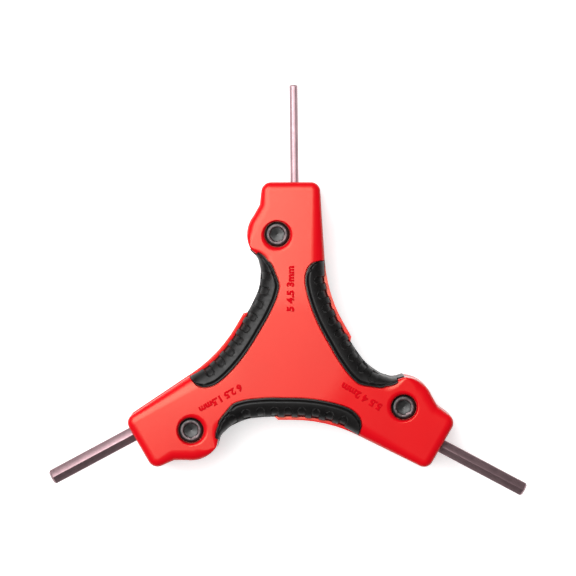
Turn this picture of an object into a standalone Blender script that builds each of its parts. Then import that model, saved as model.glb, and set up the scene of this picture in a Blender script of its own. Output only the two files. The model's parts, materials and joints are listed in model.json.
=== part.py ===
"""Folding hex key set: a three-armed handle that holds nine folding hex keys.

Frame: metres, +Z up. The handle lies on its rear face, with the origin under its middle.
The top arm points along +Y, and the left and right arms follow counter-clockwise.

Places on the handle are worked out for one arm, as (along, side): along runs from the middle
out to the arm's end, and side is positive on the counter-clockwise side, where the round lobe is.
Heights on a shell are counted from the parting plane between the two shells.
"""
import math
from collections import namedtuple

import bmesh
import bpy
from mathutils.geometry import delaunay_2d_cdt

MM = 0.001

QUARTER_TURN = 90.0
FULL_TURN = 360.0
SHARP_TURN = 30.0
HEXAGON_TURN = 60.0

# Keys. Each row: size across flats, arm, reach from pivot to tip, crank of the shaft away from
# the pivot, turn from the arm's line, whether a corner faces up, whether it is turned out.
# The rows of an arm run from its front to its rear.
Key = namedtuple("Key", "size arm reach crank turn corner_up turned_out")
SIZE_3 = 3.0 * MM
SIZE_4_5 = 4.5 * MM
SIZE_5 = 5.0 * MM
SIZE_6 = 6.0 * MM
SIZE_2_5 = 2.5 * MM
SIZE_1_5 = 1.5 * MM
SIZE_5_5 = 5.5 * MM
SIZE_4 = 4.0 * MM
SIZE_2 = 2.0 * MM
REACH_LONG = 61.2 * MM
REACH_WIDE = 60.3 * MM
REACH_PLAIN = 57.5 * MM
REACH_SHORT = 55.0 * MM
CRANK_3 = 1.2 * MM
CRANK_6 = 2.2 * MM
CRANK_NONE = 0.0
KEYS = {
    "hex_key_3mm": Key(SIZE_3, "top", REACH_LONG, CRANK_3, 0.65, False, True),
    "hex_key_4_5mm": Key(SIZE_4_5, "top", REACH_PLAIN, CRANK_NONE, 0.0, False, False),
    "hex_key_5mm": Key(SIZE_5, "top", REACH_PLAIN, CRANK_NONE, 0.0, False, False),
    "hex_key_6mm": Key(SIZE_6, "left", REACH_WIDE, CRANK_6, -1.75, True, True),
    "hex_key_2_5mm": Key(SIZE_2_5, "left", REACH_SHORT, CRANK_NONE, 0.0, False, False),
    "hex_key_1_5mm": Key(SIZE_1_5, "left", REACH_SHORT, CRANK_NONE, 0.0, False, False),
    "hex_key_5_5mm": Key(SIZE_5_5, "right", REACH_WIDE, CRANK_NONE, 2.05, True, True),
    "hex_key_4mm": Key(SIZE_4, "right", REACH_PLAIN, CRANK_NONE, 0.0, False, False),
    "hex_key_2mm": Key(SIZE_2, "right", REACH_SHORT, CRANK_NONE, 0.0, False, False),
}
FOLD_TURN = 145.0
EYE_WRAP = 265.0
EYE_STEPS = 18
CRANK_START = 4.0 * MM
CRANK_END = 15.0 * MM
CRANK_STEPS = 4
TIP_CHAMFER_SHARE = 0.13
CORNER_SHARE = 2.0 / math.sqrt(3.0)

# Arms
ARM_TURNS = {"top": 90.0, "left": 210.0, "right": 330.0}
PIVOT_ALONG = 50.4 * MM
PIVOT_SIDE = 5.5 * MM
PIVOT_TO_END = 21.4 * MM
ARM_HALF_WIDTH = 12.0 * MM
WAIST_RADIUS = 25.75 * MM
FLANK_ROUND = 6.0 * MM
LOBE_ROUND = 4.4 * MM
WAIST_ROUND = 1.2 * MM
EDGE_STEPS = 4
ARC_STEP = 14.0

# Pivots
SHANK_RADIUS = 3.0 * MM
FIT_GAP = 0.3 * MM
SLEEVE_WALL = 0.8 * MM
RUNNING_GAP = 0.2 * MM
WASHER_THICKNESS = 0.5 * MM
SPACER_LEAST = 0.65 * MM
EYE_SEAT_SHARE = 0.6
HEAD_RADIUS = 5.0 * MM
HEAD_HEIGHT = 1.9 * MM
HEAD_SHARES = ((1.0, 0.0), (1.0, 0.15), (0.97, 0.55), (0.89, 0.88), (0.79, 1.0))
SOCKET_SIZE = 5.3 * MM
SOCKET_DEPTH = 1.5 * MM
RECESS_DEPTH = 4.3 * MM
RECESS_RADIUS = 5.3 * MM
RECESS_RIM = 1.5 * MM
RECESS_LEAN = 0.7 * MM
RIM_STEPS = 3
NUT_SIZE = 10.0 * MM
NUT_HEIGHT = 2.5 * MM
ROUND_STEPS = 24

# Shells and grips
PLATE_THICKNESS = 7.0 * MM
DOME_START = 20.0 * MM
DOME_KNEE = 8.0 * MM
DOME_DROP = 2.6 * MM
FACE_GRID = 6.0 * MM
LOBE_WALL = 1.5 * MM
EYE_ROOM = 0.5 * MM
TIP_ROOM = 1.5 * MM
EXIT_PLAY = 1.2 * MM
PARTING_GAP = 0.3 * MM
PEG_RADIUS = 3.0 * MM
PEG_HEIGHT = 2.5 * MM
GRIP_WIDTH = 8.0 * MM
GRIP_THICKNESS = 1.8 * MM
GRIP_EDGE_THICKNESS = 0.9 * MM
GRIP_DROP = 4.9 * MM
GRIP_LOBE_END = 12.0 * MM
GRIP_FLANK_END = 8.0 * MM
GRIP_TIP = 1.6 * MM
RIB_PITCH = 5.55 * MM
RIB_DEPTH = 0.7 * MM
RIB_STEPS = 4
RIB_MARGIN = 4.2 * MM
RIB_REACH_SHARE = 0.8
GRIP_TIP_SHARE = 0.33
GRIP_STEPS = 5
LIP_STEP = 0.6 * MM
LIP_WIDTH = 1.2 * MM
SKIRT_WALL = 1.2 * MM
SKIRT_STEP = 0.1 * MM
LEAST_STEP = 0.01 * MM
OVERRUN = 3.5 * MM


# Sizes worked out from the driving sizes
def height_of(key):
    """Height of a key's bar, which lies on a flat or stands on a corner."""
    return key.size * CORNER_SHARE if key.corner_up else key.size


def half_width_of(key):
    return key.size / 2 if key.corner_up else key.size * CORNER_SHARE / 2


def keys_of(arm):
    return {name: key for name, key in KEYS.items() if key.arm == arm}


def pile_height(arm):
    """Height of an arm's pile of keys and washers, with every running gap."""
    pile = [height_of(key) for key in keys_of(arm).values()]
    washers = len(pile) - 1
    gaps = len(pile) + washers + 3
    return sum(pile) + washers * WASHER_THICKNESS + gaps * RUNNING_GAP


SLEEVE_BORE = SHANK_RADIUS + FIT_GAP
SLEEVE_RADIUS = SLEEVE_BORE + SLEEVE_WALL
EYE_INNER = SLEEVE_RADIUS + FIT_GAP
EYE_OUTER = EYE_INNER + 2 * max(half_width_of(key) for key in KEYS.values())
LOBE_RADIUS = EYE_OUTER + EYE_ROOM + LOBE_WALL
SLOT_HEIGHT = max(pile_height(arm) for arm in ARM_TURNS) + 2 * SPACER_LEAST
SLOT_TOP = SLOT_HEIGHT / 2
FACE = SLOT_TOP + PLATE_THICKNESS
ARM_REACH = PIVOT_ALONG + PIVOT_TO_END
STOP_SIDE = PIVOT_SIDE - EYE_INNER + EXIT_PLAY
DOME_SLOPE = DOME_DROP / (ARM_REACH - DOME_START - DOME_KNEE / 2)
GRIP_EDGE = FACE - GRIP_DROP
LIP_TOP = GRIP_EDGE - LIP_STEP


def face_drop(x, y):
    """How far the domed face lies below its flat middle, at a place on the handle."""
    beyond = max(0, math.hypot(x, y) - DOME_START)
    if beyond < DOME_KNEE:
        return DOME_SLOPE * beyond ** 2 / (2 * DOME_KNEE)
    return DOME_SLOPE * (beyond - DOME_KNEE / 2)


PIVOT_FACE = FACE - face_drop(PIVOT_ALONG, PIVOT_SIDE)
SEAT = PIVOT_FACE - RECESS_DEPTH


def polar(length, turn):
    return length * math.cos(math.radians(turn)), length * math.sin(math.radians(turn))


def turned_point(point, turn):
    x, y = point
    c, s = math.cos(math.radians(turn)), math.sin(math.radians(turn))
    return x * c - y * s, x * s + y * c


def bend_at(points, index):
    """The heading into a point of an outline, and how far the outline turns there, in radians."""
    bx, by = points[index - 1][:2]
    x, y = points[index][:2]
    ax, ay = points[(index + 1) % len(points)][:2]
    turn_in = math.atan2(y - by, x - bx)
    turn_out = math.atan2(ay - y, ax - x)
    return turn_in, (turn_out - turn_in + math.pi) % (2 * math.pi) - math.pi


def corner_radii(corners):
    """Each corner's radius, limited where two neighbouring arcs would overlap."""
    tangents = [radius * math.tan(abs(bend_at(corners, index)[1]) / 2)
                for index, (x, y, radius) in enumerate(corners)]
    limits = [1.0] * len(corners)
    for index in range(len(corners)):
        both = tangents[index - 1] + tangents[index]
        length = math.dist(corners[index - 1][:2], corners[index][:2])
        if both > length:
            limits[index - 1] = min(limits[index - 1], length / both)
            limits[index] = min(limits[index], length / both)
    return [corner[2] * limit for corner, limit in zip(corners, limits)]


def rounded(corners, closed=True):
    """Points along an outline whose corners (x, y, radius) are rounded by arcs."""
    points = []
    for index, radius in enumerate(corner_radii(corners)):
        x, y = corners[index][:2]
        at_end = not closed and index in (0, len(corners) - 1)
        if radius == 0 or at_end:
            points.append((x, y))
            continue
        turn_in, bend = bend_at(corners, index)
        tangent = radius * math.tan(abs(bend) / 2)
        sx, sy = x - tangent * math.cos(turn_in), y - tangent * math.sin(turn_in)
        hand = math.copysign(1, bend)
        cx, cy = sx - hand * radius * math.sin(turn_in), sy + hand * radius * math.cos(turn_in)
        steps = max(2, math.ceil(abs(math.degrees(bend)) / ARC_STEP))
        for step in range(steps + 1):
            heading = turn_in + bend * step / steps
            points.append((cx + hand * radius * math.sin(heading), cy - hand * radius * math.cos(heading)))
    return [point for index, point in enumerate(points) if math.dist(point, points[index - 1]) > LEAST_STEP]


def arc(centre, radius, start, end):
    steps = math.ceil(abs(end - start) / ARC_STEP)
    turns = [start + (end - start) * step / steps for step in range(steps + 1)]
    return [tuple(c + p for c, p in zip(centre, polar(radius, turn))) for turn in turns]


def inset(outline, distances):
    """A closed counter-clockwise outline moved inwards, point by point."""
    moved = []
    for index, (x, y) in enumerate(outline):
        turn_in, bend = bend_at(outline, index)
        heading = turn_in + bend / 2 + math.pi / 2
        reach = distances[index] / math.cos(bend / 2)
        moved.append((x + reach * math.cos(heading), y + reach * math.sin(heading)))
    return moved


# Outlines in an arm's own frame. The waist's shares are of its radius, measured outwards along
# the line midway to the next arm, and across it towards that next arm. The shares of the lobe's
# foot are measured the same way, but of the lobe's radius and from the end of its round.
END_CORNERS_SHARES = ((-0.99, 0.32), (0.97, 0.34))
NECK_SHARES = (0.565, 1.06)
LOBE_TURNS = (52.0, 120.0)
LOBE_END_ROUND_SHARE = 0.4
LOBE_FOOT_SHARES = (-0.59, 0.106)
LOBE_FOOT_ROUND_SHARE = 0.727
WAIST_FLANK_SHARES = (1.0, 0.571)
WAIST_FLANK_ROUND_SHARE = 2.33
WAIST_LOBE_SHARES = ((0.922, -0.727), (0.889, -0.322), (1.0, -0.2))
WAIST_LOBE_ROUNDS_SHARES = (0.8, 0, 0)
GRIP_START_SHARE = 0.065
GRIP_END_SHARE = 1.09
EDGE_SHARE = 0.6
EDGE_FADE_SHARES = (0.6, 0.76)
EDGE_CORNER_SHARE = 0.9
GRIP_TAPER_SHARE = 0.7
GRIP_TAPER_POWER = 1.15
SKIRT_END_SHARE = -0.72
SKIRT_TURN = 119.0
SKIRT_LEAST_SHARE = 0.15
SKIRT_GROWTH_SHARE = 0.19


def waist_point(out_share, across_share, side):
    """A point on the concave side: side is 1 after the arm, counter-clockwise, and -1 before it."""
    out, across = out_share * WAIST_RADIUS, across_share * WAIST_RADIUS
    return turned_point((out, across), side * HEXAGON_TURN)


def lobe_foot():
    """Where the lobe runs into the concave side, outwards and across in the waist's own frame."""
    x, y = polar(LOBE_RADIUS, LOBE_TURNS[1])
    lobe_end = turned_point((PIVOT_ALONG + x, PIVOT_SIDE + y), -HEXAGON_TURN)
    return tuple(place + share * LOBE_RADIUS for place, share in zip(lobe_end, LOBE_FOOT_SHARES))


def arm_outline():
    """The handle's edge from the middle of one concave side, past an arm's end, to the next."""
    pivot = (PIVOT_ALONG, PIVOT_SIDE)
    waist = waist_point(*WAIST_FLANK_SHARES, -1) + (WAIST_FLANK_ROUND_SHARE * WAIST_RADIUS,)
    corners = [waist]
    for side_share, round_share in END_CORNERS_SHARES:
        corners.append((ARM_REACH, side_share * ARM_HALF_WIDTH, round_share * ARM_HALF_WIDTH))
    along_share, side_share = NECK_SHARES
    corners.append((PIVOT_ALONG + along_share * PIVOT_TO_END, side_share * ARM_HALF_WIDTH, 0))
    lobe = arc(pivot, LOBE_RADIUS, *LOBE_TURNS)
    corners += [point + (0,) for point in lobe[:-1]]
    corners.append(lobe[-1] + (LOBE_END_ROUND_SHARE * LOBE_RADIUS,))
    corners.append(turned_point(lobe_foot(), HEXAGON_TURN) + (LOBE_FOOT_ROUND_SHARE * LOBE_RADIUS,))
    for shares, round_share in zip(WAIST_LOBE_SHARES, WAIST_LOBE_ROUNDS_SHARES):
        corners.append(waist_point(*shares, 1) + (round_share * WAIST_RADIUS,))
    return corners


def handle_outline():
    corners = []
    for turn in ARM_TURNS.values():
        corners += [turned_point(corner[:2], turn) + corner[2:] for corner in arm_outline()]
    return rounded(corners)


def bulge_radius(outline, index):
    """The least radius at which an outline bulges out, on either side of one of its points."""
    radii = [ARM_REACH]
    for a, b in ((index - 1, index), (index, (index + 1) % len(outline))):
        bend = max(bend_at(outline, a)[1], bend_at(outline, b)[1])
        if bend > 0:
            radii.append(math.dist(outline[a], outline[b]) / bend)
    return min(radii)


def edge_rounds(outline):
    """The width of the face's rounded edge at each point: large on a flank, smaller on a lobe.

    Its height is that times EDGE_SHARE. It narrows at the corners of an arm's end, and under the
    grips along the concave sides.
    """
    rounds = []
    start, end = (share * PIVOT_ALONG for share in EDGE_FADE_SHARES)
    for index, point in enumerate(outline):
        along, side = max(turned_point(point, -turn) for turn in ARM_TURNS.values())
        share = min(1, max(0, (1 + side / ARM_HALF_WIDTH) / 2))
        full = FLANK_ROUND + share * (LOBE_ROUND - FLANK_ROUND)
        size = WAIST_ROUND + (full - WAIST_ROUND) * min(1, max(0, (along - start) / (end - start)))
        rounds.append(min(size, EDGE_CORNER_SHARE * bulge_radius(outline, index)))
    return rounds


def slot_outline():
    """The room that an arm's keys sweep, from turned out to folded, open on the clockwise side."""
    pivot = (PIVOT_ALONG, PIVOT_SIDE)
    room = EYE_OUTER + EYE_ROOM
    inner = max(2 * half_width_of(key) + key.crank for key in KEYS.values()) + EYE_INNER + EYE_ROOM
    length = max(key.reach for key in KEYS.values()) + TIP_ROOM

    def beside_fold(distance, offset):
        x, y = turned_point((distance, -offset), -FOLD_TURN)
        return PIVOT_ALONG + x, PIVOT_SIDE + y

    stop_turn = math.degrees(math.asin((STOP_SIDE - PIVOT_SIDE) / room))
    corners = [(ARM_REACH + OVERRUN, STOP_SIDE, 0)]
    corners += [point + (0,) for point in arc(pivot, room, stop_turn, FULL_TURN - QUARTER_TURN - FOLD_TURN)]
    corners.append(beside_fold(CRANK_END, inner) + (0,))
    corners.append(beside_fold(length, inner) + (EYE_INNER,))
    corners.append(beside_fold(length, -EYE_OUTER) + (0,))
    corners.append((ARM_REACH + OVERRUN, -ARM_HALF_WIDTH - OVERRUN, 0))
    return rounded(corners)


# Mesh helpers
def make_object(name, mesh, material, smooth=True):
    obj = bpy.data.objects.new(name, mesh)
    bpy.context.scene.collection.objects.link(obj)
    if material:
        mesh.materials.append(material)
    if smooth:
        mesh.shade_smooth()
        mesh.set_sharp_from_angle(angle=math.radians(SHARP_TURN))
    return obj


def mesh_of_loops(name, loops, ring=False, cap=None):
    """A closed solid through matching loops of points, with its ends capped or, in a ring, joined.

    Where cap is given it holds further points and the triangles that close the last loop.
    """
    bm = bmesh.new()
    rows = [[bm.verts.new(point) for point in loop] for loop in loops]
    pairs = list(zip(rows, rows[1:] + rows[:1])) if ring else list(zip(rows, rows[1:]))
    for low, high in pairs:
        for index in range(len(low)):
            bm.faces.new((low[index - 1], low[index], high[index], high[index - 1]))
    if not ring:
        bm.faces.new(rows[0])
    if cap:
        points, triangles = cap
        top = rows[-1] + [bm.verts.new(point) for point in points]
        for triangle in triangles:
            bm.faces.new([top[index] for index in triangle])
    elif not ring:
        bm.faces.new(rows[-1])
    bmesh.ops.recalc_face_normals(bm, faces=bm.faces)
    mesh = bpy.data.meshes.new(name)
    bm.to_mesh(mesh)
    bm.free()
    return mesh


def at_height(outline, height):
    return [(x, y, height) for x, y in outline]


def prism(name, outline, low, high):
    return make_object(name, mesh_of_loops(name, [at_height(outline, low), at_height(outline, high)]), None)


def circle(radius, steps=ROUND_STEPS):
    return [polar(radius, FULL_TURN * step / steps) for step in range(steps)]


def hexagon(across_flats, per_side=1):
    """A hexagon with flats across Y, with per_side points on each side."""
    points = []
    for corner in range(6):
        sx, sy = polar(across_flats * CORNER_SHARE / 2, HEXAGON_TURN * corner)
        ex, ey = polar(across_flats * CORNER_SHARE / 2, HEXAGON_TURN * (corner + 1))
        for step in range(per_side):
            points.append((sx + (ex - sx) * step / per_side, sy + (ey - sy) * step / per_side))
    return points


def tube(name, outer, inner, low, high, material):
    loops = [at_height(outer, low), at_height(outer, high), at_height(inner, high), at_height(inner, low)]
    return make_object(name, mesh_of_loops(name, loops, ring=True), material)


def cut(target, cutter, operation="DIFFERENCE"):
    """Cuts target with cutter, which stays as a hidden guide."""
    cutter.hide_render = True
    cutter.display_type = "WIRE"
    modifier = target.modifiers.new(cutter.name, "BOOLEAN")
    modifier.operation = operation
    modifier.solver = "EXACT"
    modifier.object = cutter


def make_material(name, colour, roughness, metallic=0.0):
    material = bpy.data.materials.new(name)
    material.use_nodes = True
    shader = material.node_tree.nodes["Principled BSDF"]
    shader.inputs["Base Color"].default_value = colour + (1.0,)
    shader.inputs["Roughness"].default_value = roughness
    shader.inputs["Metallic"].default_value = metallic
    return material


# Pivots
def pivot_place(arm):
    return turned_point((PIVOT_ALONG, PIVOT_SIDE), ARM_TURNS[arm])


def make_pivot_empty(arm):
    empty = bpy.data.objects.new(f"pivot_{arm}", None)
    bpy.context.scene.collection.objects.link(empty)
    empty.location = pivot_place(arm) + (FACE,)
    empty.rotation_euler = (0, 0, math.radians(ARM_TURNS[arm]))
    return empty


def make_screw(arm, parent, material):
    """A button-head screw from the recess in the front shell down into the nut."""
    seat = SEAT + FIT_GAP
    profile = [(SHANK_RADIUS, -SEAT - NUT_HEIGHT), (SHANK_RADIUS, seat)]
    profile += [(radius * HEAD_RADIUS, seat + height * HEAD_HEIGHT) for radius, height in HEAD_SHARES]
    loops = [at_height(circle(radius), height) for radius, height in profile]
    name = f"pivot_screw_{arm}"
    screw = make_object(name, mesh_of_loops(name, loops), material)
    top = seat + HEAD_HEIGHT
    socket = prism(f"socket_cutter_{arm}", hexagon(SOCKET_SIZE), top - SOCKET_DEPTH, top + OVERRUN)
    cut(screw, socket)
    for obj in (screw, socket):
        obj.parent = parent


def make_pivot(arm, parent, steel, dark):
    """Screw, nut, sleeve, washers and spacers of one pivot, with the heights of its keys."""
    make_screw(arm, parent, dark)
    nut_top = -SEAT - FIT_GAP
    nut = tube(f"pivot_nut_{arm}", hexagon(NUT_SIZE, 4), circle(SHANK_RADIUS + FIT_GAP),
               nut_top - NUT_HEIGHT, nut_top, dark)
    sleeve = tube(f"pivot_sleeve_{arm}", circle(SLEEVE_RADIUS), circle(SLEEVE_BORE),
                  FIT_GAP - SLOT_TOP, SLOT_TOP - FIT_GAP, steel)
    nut.parent = parent
    sleeve.parent = parent
    spacer = (SLOT_HEIGHT - pile_height(arm)) / 2
    seat_radius = EYE_INNER + EYE_SEAT_SHARE * (EYE_OUTER - EYE_INNER)
    level = SLOT_TOP - RUNNING_GAP

    def add_ring(name, thickness):
        ring = tube(name, circle(seat_radius), circle(EYE_INNER), level - thickness, level, steel)
        ring.parent = parent

    add_ring(f"front_spacer_{arm}", spacer)
    level -= spacer + RUNNING_GAP
    levels = {}
    names = list(keys_of(arm))
    for number, name in enumerate(names, start=1):
        height = height_of(KEYS[name])
        levels[name] = level - height / 2
        level -= height + RUNNING_GAP
        if number < len(names):
            add_ring(f"washer_{number}_{arm}", WASHER_THICKNESS)
            level -= WASHER_THICKNESS + RUNNING_GAP
    add_ring(f"rear_spacer_{arm}", spacer)
    return levels


# Keys
def key_path(key):
    """Stations (x, y, heading) from the tip to the end of the eye, with the pivot at zero."""
    reach, crank = key.reach, key.crank
    radius = EYE_INNER + half_width_of(key)
    inwards = FULL_TURN / 2
    stations = [(reach, -radius - crank, inwards)]
    stations.append((reach - TIP_CHAMFER_SHARE * key.size, -radius - crank, inwards))
    if crank:
        length = CRANK_END - CRANK_START
        for step in range(CRANK_STEPS + 1):
            share = 1 - step / CRANK_STEPS
            rise = share * share * (3 - 2 * share)
            slope = crank * 6 * share * (1 - share) / length
            heading = inwards - math.degrees(math.atan(slope))
            stations.append((CRANK_START + share * length, -radius - crank * rise, heading))
    for step in range(EYE_STEPS + 1):
        turn = -QUARTER_TURN - EYE_WRAP * step / EYE_STEPS
        stations.append(polar(radius, turn) + (turn - QUARTER_TURN,))
    return stations


def make_key(name, key, level, parent, material):
    """A hex bar whose end is bent round the sleeve, turned out or folded about the pivot."""
    section = hexagon(key.size)
    if key.corner_up:
        section = [turned_point(point, HEXAGON_TURN / 2) for point in section]
    tip_share = 1 - 2 * TIP_CHAMFER_SHARE
    loops = []
    for index, (x, y, heading) in enumerate(key_path(key)):
        shrink = tip_share if index == 0 else 1.0
        dx, dy = polar(1, heading + QUARTER_TURN)
        loops.append([(x + dx * across * shrink, y + dy * across * shrink, up * shrink)
                      for across, up in section])
    obj = make_object(name, mesh_of_loops(name, loops), material)
    obj.parent = parent
    obj.location = (0, 0, level)
    obj.rotation_euler = (0, 0, math.radians(key.turn if key.turned_out else -FOLD_TURN))


# Grips. A grip covers a concave side from the lobe of one arm to the flank of the next. Its skirt
# covers the wall at the lobe, and on the flank the shell's lip stands out beyond its edge.
def waist_points():
    """The handle's edge at the concave side after the top arm: index in the outline, and across."""
    found = []
    pivot = pivot_place("top")
    for index, (x, y) in enumerate(handle_outline()):
        out, across = turned_point((x, y), -ARM_TURNS["top"] - HEXAGON_TURN)
        beside = abs(math.degrees(math.atan2(across, out))) < HEXAGON_TURN
        from_pivot = math.degrees(math.atan2(y - pivot[1], x - pivot[0])) - ARM_TURNS["top"]
        past_lobe = from_pivot % FULL_TURN > SKIRT_TURN
        if beside and past_lobe and math.hypot(x, y) < PIVOT_ALONG + PIVOT_SIDE:
            found.append((index, across))
    return found


def grip_start():
    """Where the grip starts, just before the lobe's foot, measured across in the waist's frame."""
    return lobe_foot()[1] - GRIP_START_SHARE * LOBE_RADIUS


def skirt_share(beyond):
    """How much of its full thickness the skirt has, at a distance across from where it starts."""
    return min(1, max(SKIRT_LEAST_SHARE, beyond / (SKIRT_GROWTH_SHARE * LOBE_RADIUS)))


def grip_path():
    """The outer edge of the grip that follows the top arm counter-clockwise, in that arm's frame."""
    outline = handle_outline()
    step = WAIST_LOBE_SHARES[-2][1] * WAIST_RADIUS
    start, end = grip_start(), GRIP_END_SHARE * WAIST_RADIUS
    distances = [0.0] * len(outline)
    first = waist_points()[0][1]
    for index, across in waist_points():
        taper = min(1, max(0, (end - across) / (GRIP_TAPER_SHARE * ARM_HALF_WIDTH)))
        on_lobe = across < step + SKIRT_STEP
        wall = SKIRT_WALL * skirt_share(across - first)
        distances[index] = -FIT_GAP - wall if on_lobe else LIP_WIDTH * taper
    moved = inset(outline, distances)
    path = [(moved[index], across) for index, across in waist_points()]
    chosen = []
    for (a, a_across), (b, b_across) in zip(path, path[1:]):
        for limit in (start, end):
            if a_across < limit <= b_across:
                share = (limit - a_across) / (b_across - a_across)
                chosen.append(tuple(p + share * (q - p) for p, q in zip(a, b)))
        if start < b_across < end:
            chosen.append(b)
    return [turned_point(point, -ARM_TURNS["top"]) for point in chosen]


def skirt_loops(front, turn):
    """Cross-sections of the skirt, from the lobe's side to the step in the handle's edge."""
    outline = handle_outline()
    step = WAIST_LOBE_SHARES[-2][1] * WAIST_RADIUS
    start = grip_start()
    inner = inset(outline, [-FIT_GAP] * len(outline))
    outer = inset(outline, [SKIRT_STEP - FIT_GAP - SKIRT_WALL] * len(outline))
    stations = [(inner[index], outer[index], across)
                for index, across in waist_points() if across < step - SKIRT_STEP]
    loops = []
    for near, far, across in stations:
        share = skirt_share(across - stations[0][2])
        far = tuple(p + share * (q - p) for p, q in zip(near, far))
        drop = face_drop(*near)
        edge = FACE - EDGE_SHARE * LOBE_ROUND
        top = (edge if across < start else GRIP_EDGE - GRIP_EDGE_THICKNESS / 2) - drop
        low = PARTING_GAP / 2 if across < SKIRT_END_SHARE * WAIST_RADIUS else SLOT_TOP + FIT_GAP
        loop = []
        for point, height in ((near, low), (far, low), (far, top), (near, top)):
            x, y = turned_point(point, turn - ARM_TURNS["top"])
            loop.append((x, y, FACE + height if front else FACE - height))
        loops.append(loop)
    return loops


def path_headings(path):
    """The heading at each point of a path, in radians, halfway between its two segments."""
    headings = [math.atan2(by - ay, bx - ax) for (ax, ay), (bx, by) in zip(path, path[1:])]
    turns = [0.0]
    for before, after in zip(headings, headings[1:]):
        turns.append(turns[-1] + (after - before + math.pi) % (2 * math.pi) - math.pi)
    turns = [headings[0] + turn for turn in turns]
    return [turns[0]] + [(a + b) / 2 for a, b in zip(turns, turns[1:])] + [turns[-1]]


def along_path(path, distance):
    """The point at a distance along a path, with the path's heading there in radians."""
    headings = path_headings(path)
    for index, ((ax, ay), (bx, by)) in enumerate(zip(path, path[1:])):
        length = math.hypot(bx - ax, by - ay)
        if distance <= length or index == len(path) - 2:
            share = distance / length
            heading = headings[index] + min(1, max(0, share)) * (headings[index + 1] - headings[index])
            return ax + share * (bx - ax), ay + share * (by - ay), heading
        distance -= length
    return None


def grip_width(distance, total):
    """The grip's width, which narrows to a slender end at the lobe and a round one at the flank."""
    lobe_share = 1 - (1 - min(1, distance / GRIP_LOBE_END)) ** GRIP_TAPER_POWER
    flank_share = math.sqrt(1 - (1 - min(1, (total - distance) / GRIP_FLANK_END)) ** 2)
    return GRIP_TIP + min(lobe_share, flank_share) * (GRIP_WIDTH - GRIP_TIP)


def grip_sections(gap):
    """Stations along the grip: distance from its start, its length and its width there."""
    path = grip_path()
    total = sum(math.dist(a, b) for a, b in zip(path, path[1:]))
    ribs = max(1, round((total - 2 * RIB_MARGIN) / RIB_PITCH))
    count = ribs * RIB_STEPS
    distances = [0, RIB_MARGIN * GRIP_TIP_SHARE]
    distances += [RIB_MARGIN + (total - 2 * RIB_MARGIN) * step / count for step in range(count + 1)]
    distances += [total - RIB_MARGIN * GRIP_TIP_SHARE, total]
    stations = []
    for distance in distances:
        width = grip_width(distance, total)
        phase = (distance - RIB_MARGIN) / (total - 2 * RIB_MARGIN) * ribs
        inside = 0 <= phase <= ribs
        dip = RIB_DEPTH * (0.5 - 0.5 * math.cos(2 * math.pi * phase)) if inside else 0
        share = 2 * distance / total - 1
        stations.append(along_path(path, distance + share * gap) + (width, dip))
    return stations


def shoulder(share):
    """Height of the grip's outer surface, from its outer edge (0) to its inner border (1)."""
    return GRIP_EDGE + GRIP_DROP * math.sqrt(1 - (1 - share) ** 2)


def grip_thickness(share):
    return GRIP_EDGE_THICKNESS + share * (GRIP_THICKNESS - GRIP_EDGE_THICKNESS)


def grip_loops(front, turn, gap=0.0, cutter=False):
    """Cross-sections of a grip, or of the room that it takes out of its shell."""
    shares = [step / GRIP_STEPS for step in range(GRIP_STEPS + 1)]
    loops = []
    for x, y, heading, width, dip in grip_sections(gap):
        bottom = [(share * width, shoulder(share) - grip_thickness(share)) for share in shares]
        if cutter:
            bottom = [(across, height - gap) for across, height in bottom]
            bottom[-1] = (width + gap, bottom[-1][1])
            outside = FACE + OVERRUN
            profile = [(-OVERRUN, LIP_TOP), (0, LIP_TOP)] + bottom + [(width + gap, outside), (-OVERRUN, outside)]
        else:
            depths = [min(1, (1 - share) / RIB_REACH_SHARE) for share in shares]
            waves = [dip * math.sin(math.pi * depth / 2) for depth in depths]
            top = [(share * width, shoulder(share) - wave) for share, wave in zip(shares, waves)]
            profile = bottom + top[::-1]
        loop = []
        for across, height in profile:
            px = x - across * math.sin(heading)
            py = y + across * math.cos(heading)
            px, py = turned_point((px, py), turn)
            height -= face_drop(px, py)
            loop.append((px, py, FACE + height if front else FACE - height))
        loops.append(loop)
    return loops


# Shells
def is_inside(outline, point):
    x, y = point
    inside = False
    for (ax, ay), (bx, by) in zip(outline, outline[1:] + outline[:1]):
        if (ay > y) != (by > y) and x < ax + (y - ay) * (bx - ax) / (by - ay):
            inside = not inside
    return inside


def face_cap(outline):
    """Points spread over the face inside an outline, with the triangles that join it and them."""
    margin = inset(outline, [FACE_GRID / 2] * len(outline))
    row_height = FACE_GRID / CORNER_SHARE
    rows = math.ceil(ARM_REACH / row_height)
    points = []
    for row in range(-rows, rows + 1):
        for column in range(-rows, rows + 1):
            point = ((column + row % 2 / 2) * FACE_GRID, row * row_height)
            if is_inside(margin, point):
                points.append(point)
    ring = list(range(len(outline)))
    found = delaunay_2d_cdt(outline + points, [], [ring], 1, 0.0)
    return points, found[2]


def edge_loops(side):
    """Loops round a shell: its wall from the parting plane, then its rounded edge up to the face."""
    outline = handle_outline()
    rounds = edge_rounds(outline)
    loops = [at_height(outline, FACE + side * PARTING_GAP / 2)]
    for step in range(EDGE_STEPS + 1):
        ahead, up = polar(1, QUARTER_TURN * step / EDGE_STEPS)
        moved = inset(outline, [size * (1 - ahead) for size in rounds])
        loops.append([(x, y, FACE + side * (FACE - face_drop(x, y) - EDGE_SHARE * size * (1 - up)))
                      for (x, y), size in zip(moved, rounds)])
    return loops


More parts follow.
